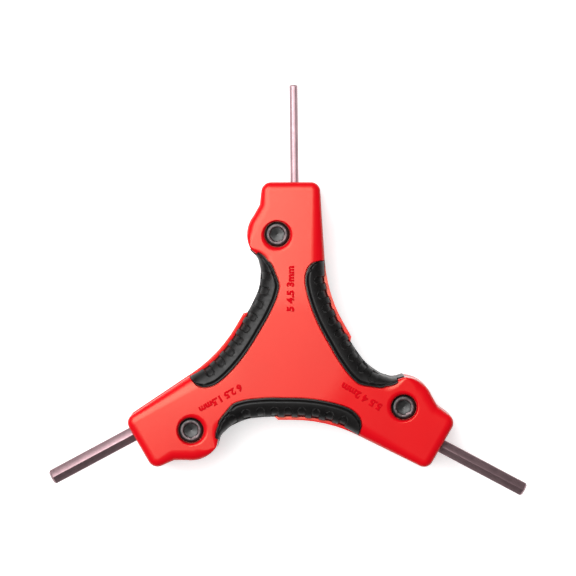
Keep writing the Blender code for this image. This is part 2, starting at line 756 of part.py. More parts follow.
def make_shell(front, material):
    """One half of the handle: a domed plate, walls and room for what it carries."""
    side = 1 if front else -1
    name = "front_shell" if front else "rear_shell"
    loops = edge_loops(side)
    points, triangles = face_cap([(x, y) for x, y, height in loops[-1]])
    raised = [(x, y, FACE + side * (FACE - face_drop(x, y))) for x, y in points]
    shell = make_object(name, mesh_of_loops(name, loops, cap=(raised, triangles)), material)
    for arm, turn in ARM_TURNS.items():
        room = [turned_point(point, turn) for point in slot_outline()]
        slot = prism(f"{name}_slot_{arm}", room, FACE - side * OVERRUN, FACE + side * SLOT_TOP)
        cut(shell, slot)
        loops = grip_loops(front, turn, FIT_GAP, cutter=True)
        pocket_name = f"{name}_grip_room_{arm}"
        cut(shell, make_object(pocket_name, mesh_of_loops(pocket_name, loops), None))
        cut_pivot_room(shell, arm, front)
    return shell


def recess_loops(arm):
    """Loops round the recess for a screw's head, whose round rim leans towards the middle."""
    loops = [at_height(circle(RECESS_RADIUS), FACE + SEAT)]
    for step in range(RIM_STEPS + 1):
        ahead, up = polar(1, QUARTER_TURN * step / RIM_STEPS)
        lean_x, lean_y = polar(-RECESS_LEAN * (1 - ahead), ARM_TURNS[arm])
        outline = [(lean_x + x, lean_y + y) for x, y in circle(RECESS_RADIUS + RECESS_RIM * (1 - ahead))]
        loops.append(at_height(outline, FACE + PIVOT_FACE - RECESS_RIM * (1 - up)))
    loops.append([(x, y, z + OVERRUN) for x, y, z in loops[-1]])
    return loops


def cut_pivot_room(shell, arm, front):
    """The hole for the screw, with a round recess for its head or a hexagon for its nut."""
    side = 1 if front else -1
    centre = pivot_place(arm)
    floor = FACE + side * SEAT
    outside = FACE + side * (PIVOT_FACE + OVERRUN)
    bore = prism(f"{shell.name}_bore_{arm}", circle(SHANK_RADIUS + FIT_GAP), FACE, outside)
    if front:
        name = f"{shell.name}_recess_{arm}"
        recess = make_object(name, mesh_of_loops(name, recess_loops(arm)), None)
    else:
        recess = prism(f"{shell.name}_recess_{arm}", hexagon(NUT_SIZE + 2 * FIT_GAP), floor, outside)
        recess.rotation_euler = (0, 0, math.radians(ARM_TURNS[arm]))
    for cutter in (bore, recess):
        cutter.location = centre + (0,)
        cut(shell, cutter)


def main():
    for obj in list(bpy.data.objects):
        bpy.data.objects.remove(obj, do_unlink=True)
    red = make_material("red_plastic", (0.80, 0.03, 0.03), 0.35)
    rubber = make_material("black_rubber", (0.02, 0.02, 0.02), 0.75)
    steel = make_material("bright_steel", (0.70, 0.70, 0.72), 0.25, 1.0)
    dark = make_material("black_steel", (0.03, 0.03, 0.03), 0.4, 0.6)
    front_shell = make_shell(True, red)
    rear_shell = make_shell(False, red)
    peg = prism("peg_guide", circle(PEG_RADIUS), FACE - PEG_HEIGHT, FACE + PEG_HEIGHT)
    cut(front_shell, peg, "UNION")
    peg_room = prism("peg_room", circle(PEG_RADIUS + FIT_GAP), FACE - PEG_HEIGHT - FIT_GAP, FACE + OVERRUN)
    cut(rear_shell, peg_room)
    grip_names = {"top": "left", "left": "bottom", "right": "right"}
    for arm, turn in ARM_TURNS.items():
        for front in (True, False):
            name = f"{'front' if front else 'rear'}_grip_{grip_names[arm]}"
            grip = make_object(name, mesh_of_loops(name, grip_loops(front, turn)), rubber)
            skirt_name = f"{name}_skirt"
            skirt = make_object(skirt_name, mesh_of_loops(skirt_name, skirt_loops(front, turn)), None)
            cut(grip, skirt, "UNION")
        parent = make_pivot_empty(arm)
        levels = make_pivot(arm, parent, steel, dark)
        for name, key in keys_of(arm).items():
            make_key(name, key, levels[name], parent, steel)


main()
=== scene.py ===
"""Folding hex key set: looks, light and camera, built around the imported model.

The shells, grips and screws are built here again from the CAD model's own sizes, with finer steps,
rounded edges, grooves and numbers, and stand in for its nodes. Every other node keeps its shape,
with softened edges. Places on the handle are (along, side) in an arm's own frame, as in the model.
"""
import json
import math

import bmesh
import bpy
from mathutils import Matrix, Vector
from mathutils.geometry import delaunay_2d_cdt


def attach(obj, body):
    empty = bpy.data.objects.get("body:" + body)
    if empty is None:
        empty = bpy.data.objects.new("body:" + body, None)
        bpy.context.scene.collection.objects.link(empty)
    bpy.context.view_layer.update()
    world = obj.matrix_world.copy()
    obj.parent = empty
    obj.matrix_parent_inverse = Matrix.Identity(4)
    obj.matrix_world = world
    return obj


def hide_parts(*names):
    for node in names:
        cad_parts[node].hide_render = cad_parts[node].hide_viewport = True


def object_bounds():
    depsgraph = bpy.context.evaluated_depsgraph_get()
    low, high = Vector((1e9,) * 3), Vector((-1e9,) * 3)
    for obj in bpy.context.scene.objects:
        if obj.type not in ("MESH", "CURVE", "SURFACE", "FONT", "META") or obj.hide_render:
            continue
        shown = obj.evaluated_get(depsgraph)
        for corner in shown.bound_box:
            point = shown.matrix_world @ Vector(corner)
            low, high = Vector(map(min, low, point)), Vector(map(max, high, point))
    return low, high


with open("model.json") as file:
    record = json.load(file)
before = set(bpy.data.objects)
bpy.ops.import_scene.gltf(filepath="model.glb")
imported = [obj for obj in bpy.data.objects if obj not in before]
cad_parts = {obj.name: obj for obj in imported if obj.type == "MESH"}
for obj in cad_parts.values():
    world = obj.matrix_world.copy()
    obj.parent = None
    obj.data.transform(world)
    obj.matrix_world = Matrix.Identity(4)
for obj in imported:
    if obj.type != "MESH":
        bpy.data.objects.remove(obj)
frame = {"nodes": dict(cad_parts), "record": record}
CAD_BOX = [list(corner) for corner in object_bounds()]
NODES = frame["nodes"]

MM = 0.001
QUARTER_TURN = 90.0
FULL_TURN = 360.0
HEXAGON_TURN = 60.0
HEXAGON_SIDES = 6
CORNER_SHARE = 2.0 / math.sqrt(3.0)

# Sizes of the CAD model, with screw heads 0.1 mm larger in radius
ARM_TURNS = {"top": 90.0, "left": 210.0, "right": 330.0}
GRIP_NAMES = {"top": "left", "left": "bottom", "right": "right"}
FACE = CAD_BOX[1][2] / 2
FIT_GAP = 0.3 * MM
PARTING_GAP = 0.3 * MM
OVERRUN = 3.5 * MM
LEAST_STEP = 0.01 * MM
WELD_STEP = LEAST_STEP / 4
PIVOT_ALONG = 50.4 * MM
PIVOT_SIDE = 5.5 * MM
PIVOT_TO_END = 21.4 * MM
ARM_REACH = PIVOT_ALONG + PIVOT_TO_END
ARM_HALF_WIDTH = 12.0 * MM
WAIST_RADIUS = 25.75 * MM
LOBE_RADIUS = 12.4 * MM
EYE_INNER = 4.4 * MM
EYE_ROOM_RADIUS = 10.9 * MM
FLANK_ROUND = 6.0 * MM
LOBE_ROUND = 4.4 * MM
WAIST_ROUND = 1.2 * MM
PLATE_THICKNESS = 7.0 * MM
SLOT_TOP = FACE - PLATE_THICKNESS
STOP_SIDE = 2.3 * MM
FOLD_TURN = 145.0
FOLD_LENGTH = 62.7 * MM
FOLD_INNER = 13.1 * MM
FOLD_START = 15.0 * MM
FOLD_OUTER = 10.4 * MM
DOME_START = 20.0 * MM
DOME_KNEE = 8.0 * MM
DOME_DROP = 2.6 * MM
DOME_SLOPE = DOME_DROP / (ARM_REACH - DOME_START - DOME_KNEE / 2)
SHANK_RADIUS = 3.0 * MM
HEAD_RADIUS = 5.1 * MM
HEAD_HEIGHT = 1.9 * MM
SOCKET_SIZE = 5.3 * MM
SOCKET_DEPTH = 1.5 * MM
RECESS_DEPTH = 4.3 * MM
RECESS_RADIUS = 5.3 * MM
RECESS_RIM = 1.5 * MM
RECESS_LEAN = 0.7 * MM
NUT_SIZE = 10.0 * MM
NUT_HEIGHT = 2.5 * MM
PEG_RADIUS = 3.0 * MM
PEG_HEIGHT = 2.5 * MM
GRIP_WIDTH = 8.0 * MM
GRIP_THICKNESS = 1.8 * MM
GRIP_EDGE_THICKNESS = 0.9 * MM
GRIP_DROP = 4.9 * MM
GRIP_EDGE = FACE - GRIP_DROP
LIP_STEP = 0.6 * MM
LIP_WIDTH = 1.2 * MM
GRIP_LOBE_END = 12.0 * MM
GRIP_FLANK_END = 8.0 * MM
GRIP_TIP = 1.6 * MM
SKIRT_WALL = 1.2 * MM
SKIRT_STEP = 0.1 * MM

# Finer steps than the CAD model's, and details that only the looks have
ARC_STEP = 5.0
EDGE_STEPS = 8
FACE_GRID = 3.0 * MM
ROUND_STEPS = 72
RIM_ROUND = 0.35 * MM
RIM_STEPS = 3
GRIP_STEP = 0.33 * MM
BEAD_WIDTH = 0.65 * MM
BORDER_GROOVE_WIDTH = 0.9 * MM
BORDER_GROOVE_DEPTH = 0.55 * MM
BORDER_GROOVE_STEEPNESS = 1.4
U_FIRST = 8.9 * MM
U_PITCH = 5.53 * MM
U_COUNT = 9
U_HALF_WIDTH = 1.55 * MM
U_DEPTH = 0.85 * MM
U_WALL = 0.3 * MM
U_REACH = 4.4 * MM
DIGIT_HEIGHT = 3.2 * MM
DIGIT_RISE = 0.15 * MM
KEY_BEVEL = 0.16 * MM
METAL_BEVEL = 0.12 * MM
BEVEL_STEPS = 2
PATH_EASING = 2
CORNER_CUT_SHARES = (0.25, 0.75)
NECK_ROUND = 1.5 * MM
GRIP_TURNS = 34
GRIP_UNDER_STEPS = 8
GRIP_EDGE_WALL = 1.1 * MM
PARTING_ROUND = 0.3 * MM
PARTING_STEPS = 2
RECESS_STEPS = 10
RECESS_TURN = 84.0
NUT_SIDE_STEPS = 6
FACE_NEARNESS = 0.012 * MM
DIGIT_THICKNESS_SHARE = 0.1
DIGIT_WEIGHT_SHARE = 0.065
DIGIT_SPACING = 1.05
DIGIT_BEVEL_STEPS = 1
SHANK_CHAMFER = 0.3 * MM
HEAD_WALL = 0.3 * MM
HEAD_FLAT_RADIUS = 3.9 * MM
HEAD_STEPS = 8
RIM_EASING = 0.1 * MM
RIM_DROP = RIM_EASING / 3
SOCKET_CHAMFER = 0.25 * MM
DISH_RADIUS = 2.3 * MM
DISH_DEPTH = 0.7 * MM
DISH_TIP = 0.05 * MM
FLAT_TURN = 0.5
BEVEL_TURN = 25.0
SHARP_TURN = 30.0
METAL_SHARP_TURN = 40.0
GRIP_SHARP_TURN = 50.0
KEEP_INSIDE = 1
SOCKET_TURNS = {"top": 15.0, "left": 30.0, "right": 30.0}

# Camera, light and floor
VIEW_CENTRE = (-1.1 * MM, 28.57 * MM)
VIEW_WIDTH = 235.1 * MM
VIEW_DISTANCE = 1.3
VIEW_TILT = 1.6
SENSOR_MM = 36.0
SOFTBOX_PLACE = (-0.36, 0.33, 1.12)
SOFTBOX_DIAMETER = 1.1
SOFTBOX_WATTS = 21.0
WORLD_GREY = 0.06
FLOOR_SIZE = 6.0
FLOOR_GREY = 0.85
FLOOR_ROUGHNESS = 0.9
FLOOR_GLOW = 0.6

# Materials, whose noises have their waves counted to the metre
NOISE_RANGE = (0.35, 0.65)
NOISE_DETAIL = 4.0
NOISE_ROUGHNESS = 0.6

# The colour sockets of a Mix node, by number because their names repeat
MIX_FIRST = 6
MIX_SECOND = 7
MIX_RESULT = 2


def add_node(tree, kind, inputs=(), **settings):
    node = tree.nodes.new(kind)
    for key, value in settings.items():
        setattr(node, key, value)
    for key, value in dict(inputs).items():
        node.inputs[key].default_value = value
    return node


def noise(tree, waves, detail=NOISE_DETAIL):
    place = add_node(tree, "ShaderNodeTexCoord").outputs["Object"]
    settings = {"Scale": waves, "Detail": detail, "Roughness": NOISE_ROUGHNESS}
    node = add_node(tree, "ShaderNodeTexNoise", settings)
    tree.links.new(place, node.inputs["Vector"])
    return node.outputs["Fac"]


def spread(tree, value, low, high):
    """The middle of a noise's range, mapped to low to high."""
    start, end = NOISE_RANGE
    settings = {"From Min": start, "From Max": end, "To Min": low, "To Max": high}
    node = add_node(tree, "ShaderNodeMapRange", settings)
    tree.links.new(value, node.inputs["Value"])
    return node.outputs["Result"]


def blend_colours(tree, share, first, second):
    colours = {MIX_FIRST: first + (1.0,), MIX_SECOND: second + (1.0,)}
    node = add_node(tree, "ShaderNodeMix", colours, data_type="RGBA")
    tree.links.new(share, node.inputs["Factor"])
    return node.outputs[MIX_RESULT]


def new_material(name, colour, roughness, metallic=0.0):
    material = bpy.data.materials.new(name)
    material.use_nodes = True
    tree = material.node_tree
    shader = tree.nodes["Principled BSDF"]
    shader.inputs["Base Color"].default_value = colour + (1.0,)
    shader.inputs["Roughness"].default_value = roughness
    shader.inputs["Metallic"].default_value = metallic
    return material, tree, shader


def varied_material(name, colours, colour_waves, roughness, roughness_waves, relief_waves,
                    relief_strength, relief_depth, relief_detail=2.0, colour_detail=NOISE_DETAIL,
                    metallic=0.0, settings=()):
    """A material whose colour, roughness and relief each follow a noise of their own."""
    material, tree, shader = new_material(name, colours[0], roughness[0], metallic)
    share = spread(tree, noise(tree, colour_waves, colour_detail), 0.0, 1.0)
    tree.links.new(blend_colours(tree, share, *colours), shader.inputs["Base Color"])
    tree.links.new(spread(tree, noise(tree, roughness_waves), *roughness), shader.inputs["Roughness"])
    relief = add_node(tree, "ShaderNodeBump", {"Strength": relief_strength, "Distance": relief_depth})
    tree.links.new(noise(tree, relief_waves, relief_detail), relief.inputs["Height"])
    tree.links.new(relief.outputs["Normal"], shader.inputs["Normal"])
    for key, value in dict(settings).items():
        shader.inputs[key].default_value = value
    return material


def red_plastic():
    """Glossy moulded plastic with a slight orange peel and faint handling marks."""
    return varied_material(
        "red_moulded_plastic",
        colours=((0.78, 0.001, 0.009), (0.75, 0.001, 0.009)), colour_waves=45.0,
        roughness=(0.28, 0.3), roughness_waves=60.0,
        relief_waves=700.0, relief_strength=0.02, relief_depth=0.01 * MM,
        settings={"Specular Tint": (1.0, 0.9, 0.62, 1.0)})


def black_rubber():
    """Matt moulded rubber with a fine grain and a little dust."""
    return varied_material(
        "black_moulded_rubber",
        colours=((0.004, 0.0035, 0.0035), (0.007, 0.006, 0.006)), colour_waves=160.0,
        roughness=(0.38, 0.5), roughness_waves=500.0,
        relief_waves=2600.0, relief_strength=0.25, relief_depth=0.03 * MM, relief_detail=3.0,
        settings={"Specular IOR Level": 0.3})


def black_steel():
    """Black oxide on steel, rubbed lighter in places."""
    return varied_material(
        "black_oxide_steel",
        colours=((0.008, 0.008, 0.008), (0.018, 0.018, 0.018)), colour_waves=700.0,
        roughness=(0.28, 0.42), roughness_waves=900.0,
        relief_waves=3000.0, relief_strength=0.15, relief_depth=0.03 * MM)


def key_steel():
    """Satin plated steel with a fine grain and a warm tinge."""
    return varied_material(
        "satin_key_steel", metallic=1.0,
        colours=((0.42, 0.28, 0.30), (0.36, 0.24, 0.26)), colour_waves=260.0, colour_detail=5.0,
        roughness=(0.44, 0.5), roughness_waves=800.0,
        relief_waves=2500.0, relief_strength=0.1, relief_depth=0.03 * MM, relief_detail=3.0)


def bright_steel():
    """Plain turned steel of the sleeves, washers and spacers."""
    return varied_material(
        "plain_turned_steel", metallic=1.0,
        colours=((0.58, 0.58, 0.60), (0.45, 0.45, 0.46)), colour_waves=500.0,
        roughness=(0.22, 0.36), roughness_waves=1200.0,
        relief_waves=3500.0, relief_strength=0.1, relief_depth=0.02 * MM)


def number_plastic():
    """The shells' plastic, a little deeper in colour and duller, as the raised numbers show."""
    return varied_material(
        "red_number_plastic",
        colours=((0.66, 0.0005, 0.007), (0.60, 0.0, 0.006)), colour_waves=300.0,
        roughness=(0.55, 0.65), roughness_waves=900.0,
        relief_waves=2000.0, relief_strength=0.12, relief_depth=0.03 * MM,
        settings={"Specular IOR Level": 0.05})


def ring_highlight():
    """Lighter steel on a screw's flat ring and the chamfer of its socket: a painted highlight of the
    ring that catches the light.
    """
    return varied_material(
        "painted_socket_highlight", metallic=1.0,
        colours=((0.16, 0.12, 0.125), (0.05, 0.04, 0.04)), colour_waves=900.0, colour_detail=5.0,
        roughness=(0.36, 0.5), roughness_waves=1200.0,
        relief_waves=3000.0, relief_strength=0.15, relief_depth=0.03 * MM)


MATERIALS = {
    "red_plastic": red_plastic(),
    "black_rubber": black_rubber(),
    "black_steel": black_steel(),
    "key_steel": key_steel(),
    "bright_steel": bright_steel(),
    "number_plastic": number_plastic(),
    "ring_highlight": ring_highlight(),
}


def slot_of(name):
    if "shell" in name:
        return "red_plastic"
    if "grip" in name:
        return "black_rubber"
    if "screw" in name or "nut" in name:
        return "black_steel"
    if "key" in name:
        return "key_steel"
    return "bright_steel"


def finish_piece(piece, body, node, slot, material=None):
    """Gives a piece its material and body, and hides the CAD node that it stands in for."""
    piece.data.materials.clear()
    piece.data.materials.append(material or MATERIALS[slot])
    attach(piece, body)
    if node:
        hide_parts(node)


# Outlines
def face_drop(x, y):
    """How far the domed face lies below its flat middle, at a place on the handle."""
    beyond = max(0, math.hypot(x, y) - DOME_START)
    if beyond < DOME_KNEE:
        return DOME_SLOPE * beyond ** 2 / (2 * DOME_KNEE)
    return DOME_SLOPE * (beyond - DOME_KNEE / 2)


def face_normal(x, y):
    """The domed face's own direction at a place on the handle."""
    radius = math.hypot(x, y)
    slope = DOME_SLOPE * min(1, max(0, radius - DOME_START) / DOME_KNEE)
    if radius == 0:
        return Vector((0, 0, 1))
    return Vector((slope * x / radius, slope * y / radius, 1)).normalized()


PIVOT_FACE = FACE - face_drop(PIVOT_ALONG, PIVOT_SIDE)
SEAT = PIVOT_FACE - RECESS_DEPTH


def polar(length, turn):
    return length * math.cos(math.radians(turn)), length * math.sin(math.radians(turn))


def turned_point(point, turn):
    x, y = point
    c, s = math.cos(math.radians(turn)), math.sin(math.radians(turn))
    return x * c - y * s, x * s + y * c


def round_steps(steps, size=1, turn=QUARTER_TURN):
    """Across and up at each step of a round edge, which starts at (size, 0) and turns upwards."""
    return [polar(size, turn * step / steps) for step in range(steps + 1)]


def smooth_step(value):
    value = min(1, max(0, value))
    return value * value * (3 - 2 * value)


def bend_at(points, index):
    """The heading into a point of an outline, and how far the outline turns there, in radians."""
    bx, by = points[index - 1][:2]
    x, y = points[index][:2]
    ax, ay = points[(index + 1) % len(points)][:2]
    turn_in = math.atan2(y - by, x - bx)
    turn_out = math.atan2(ay - y, ax - x)
    return turn_in, (turn_out - turn_in + math.pi) % (2 * math.pi) - math.pi


def corner_radii(corners):
    """Each corner's radius, limited where two neighbouring arcs would overlap."""
    tangents = [radius * math.tan(abs(bend_at(corners, index)[1]) / 2)
                for index, (x, y, radius) in enumerate(corners)]
    limits = [1.0] * len(corners)
    for index in range(len(corners)):
        both = tangents[index - 1] + tangents[index]
        length = math.dist(corners[index - 1][:2], corners[index][:2])
        if both > length:
            limits[index - 1] = min(limits[index - 1], length / both)
            limits[index] = min(limits[index], length / both)
    return [corner[2] * limit for corner, limit in zip(corners, limits)]


def rounded(corners):
    """Points along a closed outline whose corners (x, y, radius) are rounded by arcs."""
    points = []
    for index, radius in enumerate(corner_radii(corners)):
        x, y = corners[index][:2]
        if radius == 0:
            points.append((x, y))
            continue
        turn_in, bend = bend_at(corners, index)
        tangent = radius * math.tan(abs(bend) / 2)
        sx, sy = x - tangent * math.cos(turn_in), y - tangent * math.sin(turn_in)
        hand = math.copysign(1, bend)
        cx, cy = sx - hand * radius * math.sin(turn_in), sy + hand * radius * math.cos(turn_in)
        steps = max(2, math.ceil(abs(math.degrees(bend)) / ARC_STEP))
        for step in range(steps + 1):
            heading = turn_in + bend * step / steps
            outwards = math.sin(heading), -math.cos(heading)
            points.append((cx + hand * radius * outwards[0], cy + hand * radius * outwards[1]))
    return [point for index, point in enumerate(points)
            if math.dist(point, points[index - 1]) > LEAST_STEP]


def arc(centre, radius, start, end):
    steps = math.ceil(abs(end - start) / ARC_STEP)
    turns = [start + (end - start) * step / steps for step in range(steps + 1)]
    return [tuple(c + p for c, p in zip(centre, polar(radius, turn))) for turn in turns]


def inset(outline, distances):
    """A closed counter-clockwise outline moved inwards, each point by a distance of its own."""
    moved = []
    for index, (x, y) in enumerate(outline):
        turn_in, bend = bend_at(outline, index)
        heading = turn_in + bend / 2 + math.pi / 2
        reach = distances[index] / math.cos(bend / 2)
        moved.append((x + reach * math.cos(heading), y + reach * math.sin(heading)))
    return moved


def inset_evenly(outline, distance):
    return inset(outline, [distance] * len(outline))


# The handle's edge, its grips and skirts, as shares of those sizes and turns in degrees
END_CORNERS_SHARES = ((-0.99, 0.32), (0.97, 0.34))
NECK_SHARES = (0.565, 1.06)
LOBE_TURNS = (52.0, 120.0)
LOBE_END_ROUND_SHARE = 0.4
LOBE_FOOT_SHARES = (-0.59, 0.106)
LOBE_FOOT_ROUND_SHARE = 0.727
WAIST_FLANK_SHARES = (1.0, 0.571)
WAIST_FLANK_ROUND_SHARE = 2.33
WAIST_LOBE_SHARES = ((0.922, -0.727), (0.889, -0.322), (1.0, -0.2))
WAIST_LOBE_ROUNDS_SHARES = (0.8, 0, 0)
GRIP_START_SHARE = 0.065
GRIP_END_SHARE = 1.09
EDGE_SHARE = 0.6
EDGE_FADE_SHARES = (0.6, 0.76)
EDGE_CORNER_SHARE = 0.85
EDGE_CHANGE_SHARE = 0.5
GRIP_TAPER_SHARE = 0.7
GRIP_TAPER_POWER = 1.15
SKIRT_END_SHARE = -0.72
SKIRT_TURN = 119.0
SKIRT_LEAST_SHARE = 0.15
SKIRT_GROWTH_SHARE = 0.19


def waist_point(out_share, across_share, side):
    """A point on the concave side: side is 1 after the arm, counter-clockwise, and -1 before it."""
    out, across = out_share * WAIST_RADIUS, across_share * WAIST_RADIUS
    return turned_point((out, across), side * HEXAGON_TURN)


def lobe_foot():
    """Where the lobe runs into the concave side, outwards and across in the waist's own frame."""
    x, y = polar(LOBE_RADIUS, LOBE_TURNS[1])
    lobe_end = turned_point((PIVOT_ALONG + x, PIVOT_SIDE + y), -HEXAGON_TURN)
    return tuple(place + share * LOBE_RADIUS for place, share in zip(lobe_end, LOBE_FOOT_SHARES))


def arm_outline():
    """The handle's edge from the middle of one concave side, past an arm's end, to the next."""
    pivot = (PIVOT_ALONG, PIVOT_SIDE)
    corners = [waist_point(*WAIST_FLANK_SHARES, -1) + (WAIST_FLANK_ROUND_SHARE * WAIST_RADIUS,)]
    for side_share, round_share in END_CORNERS_SHARES:
        corners.append((ARM_REACH, side_share * ARM_HALF_WIDTH, round_share * ARM_HALF_WIDTH))
    along_share, side_share = NECK_SHARES
    corners.append((PIVOT_ALONG + along_share * PIVOT_TO_END, side_share * ARM_HALF_WIDTH, NECK_ROUND))
    lobe = arc(pivot, LOBE_RADIUS, *LOBE_TURNS)
    corners += [point + (0,) for point in lobe[:-1]]
    corners.append(lobe[-1] + (LOBE_END_ROUND_SHARE * LOBE_RADIUS,))
    corners.append(turned_point(lobe_foot(), HEXAGON_TURN) + (LOBE_FOOT_ROUND_SHARE * LOBE_RADIUS,))
    for shares, round_share in zip(WAIST_LOBE_SHARES, WAIST_LOBE_ROUNDS_SHARES):
        corners.append(waist_point(*shares, 1) + (round_share * WAIST_RADIUS,))
    return corners


def handle_outline():
    corners = []
    for turn in ARM_TURNS.values():
        corners += [turned_point(corner[:2], turn) + corner[2:] for corner in arm_outline()]
    return rounded(corners)


def bulge_radius(outline, index):
    """The least radius at which an outline bulges out, on either side of one of its points."""
    radii = [ARM_REACH]
    for a, b in ((index - 1, index), (index, (index + 1) % len(outline))):
        bend = max(bend_at(outline, a)[1], bend_at(outline, b)[1])
        if bend > 0:
            radii.append(math.dist(outline[a], outline[b]) / bend)
    return min(radii)


def edge_rounds(outline):
    """The width of the face's rounded edge at each point, which changes gradually along it.

    Along and side are taken on the arm that the point lies farthest out on.
    """
    rounds = []
    count = len(outline)
    start, end = (share * PIVOT_ALONG for share in EDGE_FADE_SHARES)
    for index, point in enumerate(outline):
        along, side = max(turned_point(point, -turn) for turn in ARM_TURNS.values())
        share = min(1, max(0, (1 + side / ARM_HALF_WIDTH) / 2))
        full = FLANK_ROUND + share * (LOBE_ROUND - FLANK_ROUND)
        size = WAIST_ROUND + (full - WAIST_ROUND) * min(1, max(0, (along - start) / (end - start)))
        rounds.append(min(size, EDGE_CORNER_SHARE * bulge_radius(outline, index)))
    # Two rounds each way, so that a limit also reaches past the outline's first point
    forwards = list(range(count)) * 2
    for index in forwards + forwards[::-1]:
        for beside in (index - 1, (index + 1) % count):
            reach = rounds[beside] + EDGE_CHANGE_SHARE * math.dist(outline[index], outline[beside])
            rounds[index] = min(rounds[index], reach)
    return rounds


def slot_outline():
    """The room that an arm's keys sweep, from turned out to folded, open on the clockwise side."""
    pivot = (PIVOT_ALONG, PIVOT_SIDE)

    def beside_fold(distance, offset):
        x, y = turned_point((distance, -offset), -FOLD_TURN)
        return PIVOT_ALONG + x, PIVOT_SIDE + y

    stop_turn = math.degrees(math.asin((STOP_SIDE - PIVOT_SIDE) / EYE_ROOM_RADIUS))
    room = arc(pivot, EYE_ROOM_RADIUS, stop_turn, FULL_TURN - QUARTER_TURN - FOLD_TURN)
    corners = [(ARM_REACH + OVERRUN, STOP_SIDE, 0)]
    corners += [point + (0,) for point in room]
    corners.append(beside_fold(FOLD_START, FOLD_INNER) + (0,))
    corners.append(beside_fold(FOLD_LENGTH, FOLD_INNER) + (EYE_INNER,))
    corners.append(beside_fold(FOLD_LENGTH, -FOLD_OUTER) + (0,))
    corners.append((ARM_REACH + OVERRUN, -ARM_HALF_WIDTH - OVERRUN, 0))
    return rounded(corners)


# Mesh helpers
def mesh_of_loops(name, loops, cap=None):
    """A closed solid through matching loops of points.

    Where cap is given it holds further points and the triangles that close the last loop.
    """
    bm = bmesh.new()
    rows = [[bm.verts.new(point) for point in loop] for loop in loops]
    for low, high in zip(rows, rows[1:]):
        for index in range(len(low)):
            bm.faces.new((low[index - 1], low[index], high[index], high[index - 1]))
    bm.faces.new(rows[0])
    if cap:
        points, triangles = cap
        top = rows[-1] + [bm.verts.new(point) for point in points]
        for triangle in triangles:
            bm.faces.new([top[index] for index in triangle])
    else:
        bm.faces.new(rows[-1])
    bmesh.ops.recalc_face_normals(bm, faces=bm.faces)
    mesh = bpy.data.meshes.new(name)
    bm.to_mesh(mesh)
    bm.free()
    return mesh


def make_object(name, mesh):
    obj = bpy.data.objects.new(name, mesh)
    bpy.context.scene.collection.objects.link(obj)
    return obj


def shade(mesh, sharp_turn=SHARP_TURN):
    mesh.shade_smooth()
    mesh.set_sharp_from_angle(angle=math.radians(sharp_turn))


def at_height(outline, height):
    return [(x, y, height) for x, y in outline]


def circle(radius):
    return [polar(radius, FULL_TURN * step / ROUND_STEPS) for step in range(ROUND_STEPS)]


def hexagon(across_flats, per_side):
    """A hexagon with flats across Y, with per_side points on each side."""
    points = []
    for corner in range(HEXAGON_SIDES):
        sx, sy = polar(across_flats * CORNER_SHARE / 2, HEXAGON_TURN * corner)
        ex, ey = polar(across_flats * CORNER_SHARE / 2, HEXAGON_TURN * (corner + 1))
        for step in range(per_side):
            points.append((sx + (ex - sx) * step / per_side, sy + (ey - sy) * step / per_side))
    return points


def moved_outline(outline, place, turn=0.0):
    """An outline turned about its own origin and moved to a place."""
    return [tuple(p + q for p, q in zip(place, turned_point(point, turn))) for point in outline]


def evaluated_mesh(obj):
    """A new mesh of a text or of an object with its modifiers."""
    graph = bpy.context.evaluated_depsgraph_get()
    return bpy.data.meshes.new_from_object(obj.evaluated_get(graph))


def apply_modifiers(obj):
    mesh = evaluated_mesh(obj)
    obj.modifiers.clear()
    obj.data = mesh


def combine(target, meshes, operation="DIFFERENCE"):
    """Cuts meshes out of the target, or joins them to it, one after another."""
    tools = [make_object(mesh.name, mesh) for mesh in meshes]
    for tool in tools:
        modifier = target.modifiers.new(tool.name, "BOOLEAN")
        modifier.operation = operation
        modifier.solver = "EXACT"
        modifier.object = tool
    apply_modifiers(target)
    for tool in tools:
        bpy.data.objects.remove(tool, do_unlink=True)


def pivot_place(arm):
    return turned_point((PIVOT_ALONG, PIVOT_SIDE), ARM_TURNS[arm])


# Grips. Each lies along a concave side, from the lobe of one arm to the flank of the next.
def waist_points():
    """The handle's edge at the concave side after the top arm: index in the outline, and across."""
    found = []
    pivot = pivot_place("top")
    for index, (x, y) in enumerate(handle_outline()):
        out, across = turned_point((x, y), -ARM_TURNS["top"] - HEXAGON_TURN)
        beside = abs(math.degrees(math.atan2(across, out))) < HEXAGON_TURN
        from_pivot = math.degrees(math.atan2(y - pivot[1], x - pivot[0])) - ARM_TURNS["top"]
        past_lobe = from_pivot % FULL_TURN > SKIRT_TURN
        if beside and past_lobe and math.hypot(x, y) < PIVOT_ALONG + PIVOT_SIDE:
            found.append((index, across))
    return found


def lobe_step():
    """Where the outline steps out from the lobe's foot, measured across in the waist's frame."""
    return WAIST_LOBE_SHARES[-2][1] * WAIST_RADIUS


def grip_start():
    """Where the grip starts, just before the lobe's foot, measured across in the waist's frame."""
    return lobe_foot()[1] - GRIP_START_SHARE * LOBE_RADIUS


def skirt_share(beyond):
    """How much of its full thickness the skirt has, at a distance across from where it starts."""
    return min(1, max(SKIRT_LEAST_SHARE, beyond / (SKIRT_GROWTH_SHARE * LOBE_RADIUS)))


